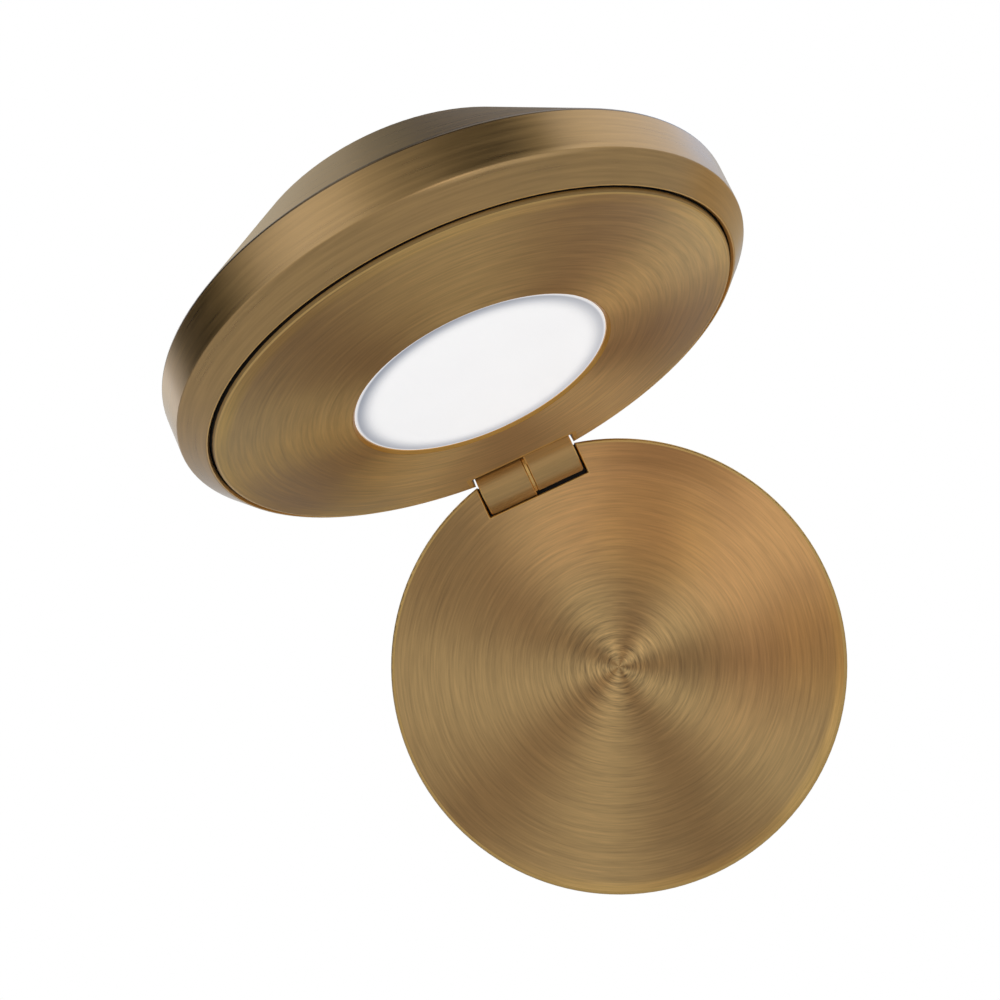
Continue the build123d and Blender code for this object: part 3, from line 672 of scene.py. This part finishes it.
# Brightness round the studio by direction in degrees: 0 is in front of the wall plate, 90 to its right
# seen from there, 180 behind the wall. OVERHEAD is high up and LEVEL at the height of the piece.
OVERHEAD = [
    (-180, 0.165), (-174, 0.28), (-168, 0.42), (-158, 0.70), (-146, 0.84), (-135, 1.13), (-124, 0.40),
    (-113, 0.0), (-100, 0.0), (-88, 0.04), (-75, 0.31), (-61, 0.76), (-45, 1.00), (-27, 0.86),
    (-7, 0.45), (12, 0.30), (31, 0.115), (48, 0.047), (63, 0.05), (77, 0.86), (92, 1.00),
    (128, 0.98), (148, 0.80), (158, 0.30), (166, 0.08), (174, 0.07), (180, 0.165),
]
LEVEL = [
    (-180, 0.30), (-172, 0.50), (-164, 0.76), (-150, 0.62), (-136, 0.70), (-122, 0.25), (-100, 0.20),
    (-80, 0.40), (-50, 0.54), (20, 0.56), (110, 0.52), (130, 0.58), (150, 0.66), (159, 0.62),
    (168, 0.30), (180, 0.25),
]
OVERHEAD_START = (0.16, 0.36)                # z of a direction, where LEVEL becomes OVERHEAD
BELOW_END = (-0.14, 0.14)                    # and where the surround below becomes LEVEL
OVERHEAD_DARK = (1.00, 0.97, 0.85, 1)        # warm tint of the dark panels overhead
OVERHEAD_LIGHT = (0.98, 1.01, 1.10, 1)       # cool tint of the light ones
BACK_LEFT = (1.15, 1.05, 0.84, 1)            # tints high up behind the wall, on the left
BACK_RIGHT = (1.00, 1.17, 1.50, 1)           # and on the right
BACK_START = (0.5, 0.8)                      # y of a direction, where those tints come in
BACK_MIDDLE = (0.02, 0.12)                   # x of it, where the left one becomes the right one
WHITE = (1, 1, 1, 1)
BELOW = (0.48, 0.48, 0.48, 1)
BELOW_RIGHT = (0.50, 0.41, 0.26, 1)          # a warm panel low on the right
BELOW_RIGHT_START = (100, 118)               # degrees round the studio
BELOW_RIGHT_END = (150, 162)
WARM_PANEL_TURN = math.radians(14.0)         # a warm panel in front, turned to the right
WARM_PANEL_RISE = math.radians(1.0)
WARM_PANEL_REACH = math.radians(17.0)
WARM_PANEL = (0.50, 0.44, 0.42)


def make_floor():
    """Pale floor well below the light, in front of the wall line."""
    bpy.ops.mesh.primitive_plane_add(size=1.0, location=FLOOR_PLACE)
    floor = bpy.context.object
    floor.name = "floor"
    floor.scale = FLOOR_SIZE
    paint = plain_grain("floor_paint", FLOOR_PAINT, 0.8, grain_scale=60.0, contrast=0.02)
    floor.data.materials.append(paint)


def turn_place(degrees):
    """Position on a ramp that runs once round the studio, from -180 to 180 degrees."""
    return degrees / 360 + 0.5


def studio_light(w):
    """Colour of the studio in each direction, with pale and dark panels for the brass to reflect."""
    direction = w.vector_math("NORMALIZE", w.nodes.new("ShaderNodeTexCoord").outputs["Generated"])
    x, y, z = w.separate(direction)
    turn = w.add(w.multiply(w.math("ARCTAN2", x, w.multiply(y, -1.0)), 1 / math.tau), 0.5)
    overhead = w.ramp(turn, [(turn_place(angle), brightness) for angle, brightness in OVERHEAD])
    overhead = w.filter(overhead, w.mix(overhead, OVERHEAD_DARK, OVERHEAD_LIGHT))
    back_tint = w.mix(w.rise(x, *BACK_MIDDLE), BACK_LEFT, BACK_RIGHT)
    overhead = w.filter(overhead, w.mix(w.rise(y, *BACK_START), WHITE, back_tint))
    level = w.ramp(turn, [(turn_place(angle), brightness) for angle, brightness in LEVEL])
    right_start, right_full = (turn_place(angle) for angle in BELOW_RIGHT_START)
    right_fading, right_end = (turn_place(angle) for angle in BELOW_RIGHT_END)
    on_right = w.multiply(w.rise(turn, right_start, right_full), w.fall(turn, right_fading, right_end))
    surround = w.mix(w.rise(z, *BELOW_END), w.mix(on_right, BELOW, BELOW_RIGHT), level)
    surround = w.mix(w.rise(z, *OVERHEAD_START), surround, overhead)
    aim_x = math.sin(WARM_PANEL_TURN) * math.cos(WARM_PANEL_RISE)
    aim_y = -math.cos(WARM_PANEL_TURN) * math.cos(WARM_PANEL_RISE)
    aim = (aim_x, aim_y, math.sin(WARM_PANEL_RISE))
    panel = w.rise(w.vector_math("DOT_PRODUCT", direction, aim), math.cos(WARM_PANEL_REACH), 1.0)
    return w.shift(surround, WARM_PANEL, panel)


def make_world():
    """Soft studio light on the piece, and plain white behind it."""
    world = bpy.data.worlds.new("studio")
    bpy.context.scene.world = world
    world.use_nodes = True
    w = NodeTree(world.node_tree)
    around = w.nodes.new("ShaderNodeBackground")
    w.plug(studio_light(w), around.inputs["Color"])
    seen = w.nodes.new("ShaderNodeBackground")
    w.plug(WHITE, seen.inputs["Color"])
    mix = w.nodes.new("ShaderNodeMixShader")
    w.links.new(w.nodes.new("ShaderNodeLightPath").outputs["Is Camera Ray"], mix.inputs[0])
    w.links.new(around.outputs[0], mix.inputs[1])
    w.links.new(seen.outputs[0], mix.inputs[2])
    output = w.nodes.new("ShaderNodeOutputWorld")
    w.links.new(mix.outputs[0], output.inputs["Surface"])


dress_all()
make_camera()
make_floor()
make_world()
bpy.context.scene.view_settings.view_transform = "Standard"
